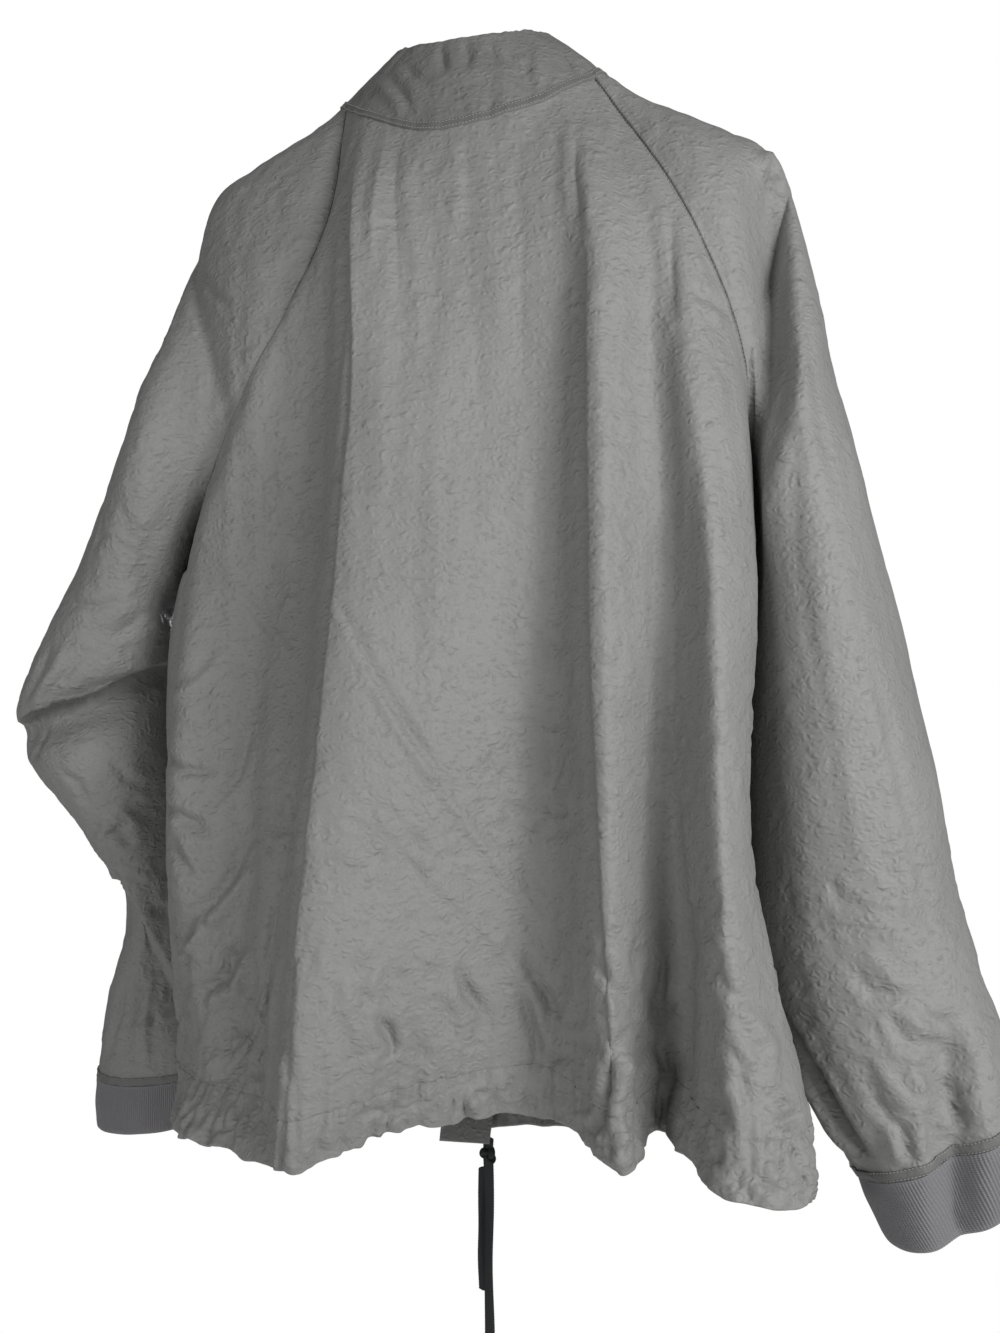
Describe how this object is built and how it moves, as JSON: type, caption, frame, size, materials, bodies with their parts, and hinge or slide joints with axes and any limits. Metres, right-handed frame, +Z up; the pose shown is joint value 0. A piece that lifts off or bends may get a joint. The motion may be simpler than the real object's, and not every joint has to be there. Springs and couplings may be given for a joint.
{
  "type": "windbreaker jacket",
  "caption": "Hip-length crinkled nylon windbreaker, hanging filled out: raglan sleeves, stand collar, full zip, gathered hem with drawcord, rib-knit cuffs.",
  "frame": {"origin": "middle of the neck base, where the garment is held", "axes": "+X towards the wearer's left, +Y towards the back, +Z up"},
  "size_m": [0.7574, 0.3189, 1.0185],
  "materials": {
    "nylon": "crinkled plain-weave nylon, slight sheen",
    "binding": "folded nylon strip, twin stitched",
    "rib_knit": "fine rib knit, matt",
    "zip_tape": "woven tape",
    "zip_chain": "moulded teeth",
    "zip_metal": "dull nickel",
    "cord": "flat woven cord"
  },
  "bodies": {
    "jacket": {"back": "nylon", "front_left": "nylon", "front_right": "nylon", "sleeve_left": "nylon", "sleeve_left_lower": "nylon", "sleeve_right": "nylon", "sleeve_right_lower": "nylon", "collar": "nylon", "hem_channel": "nylon", "wind_flap": "nylon", "neck_binding": "binding", "cuff_strip_left": "binding", "cuff_strip_right": "binding", "cuff_left": "rib_knit", "cuff_right": "rib_knit", "zip_tape_left": "zip_tape", "zip_tape_right": "zip_tape", "zip_chain": "zip_chain", "zip_slider": "zip_metal", "drawcord_neck": "cord", "drawcord_long": "cord", "drawcord_short": "cord", "drawcord_knot": "cord"},
    "pull_tab": {"zip_pull": "zip_metal"}
  },
  "joints": [
    {"name": "pull_tab_swing", "type": "hinge", "parent": "jacket", "child": "pull_tab", "pos_m": [0.00008, -0.07174, -0.03356], "axis": [-0.9994, 0, 0.036], "range_deg": [0, 150]}
  ]
}
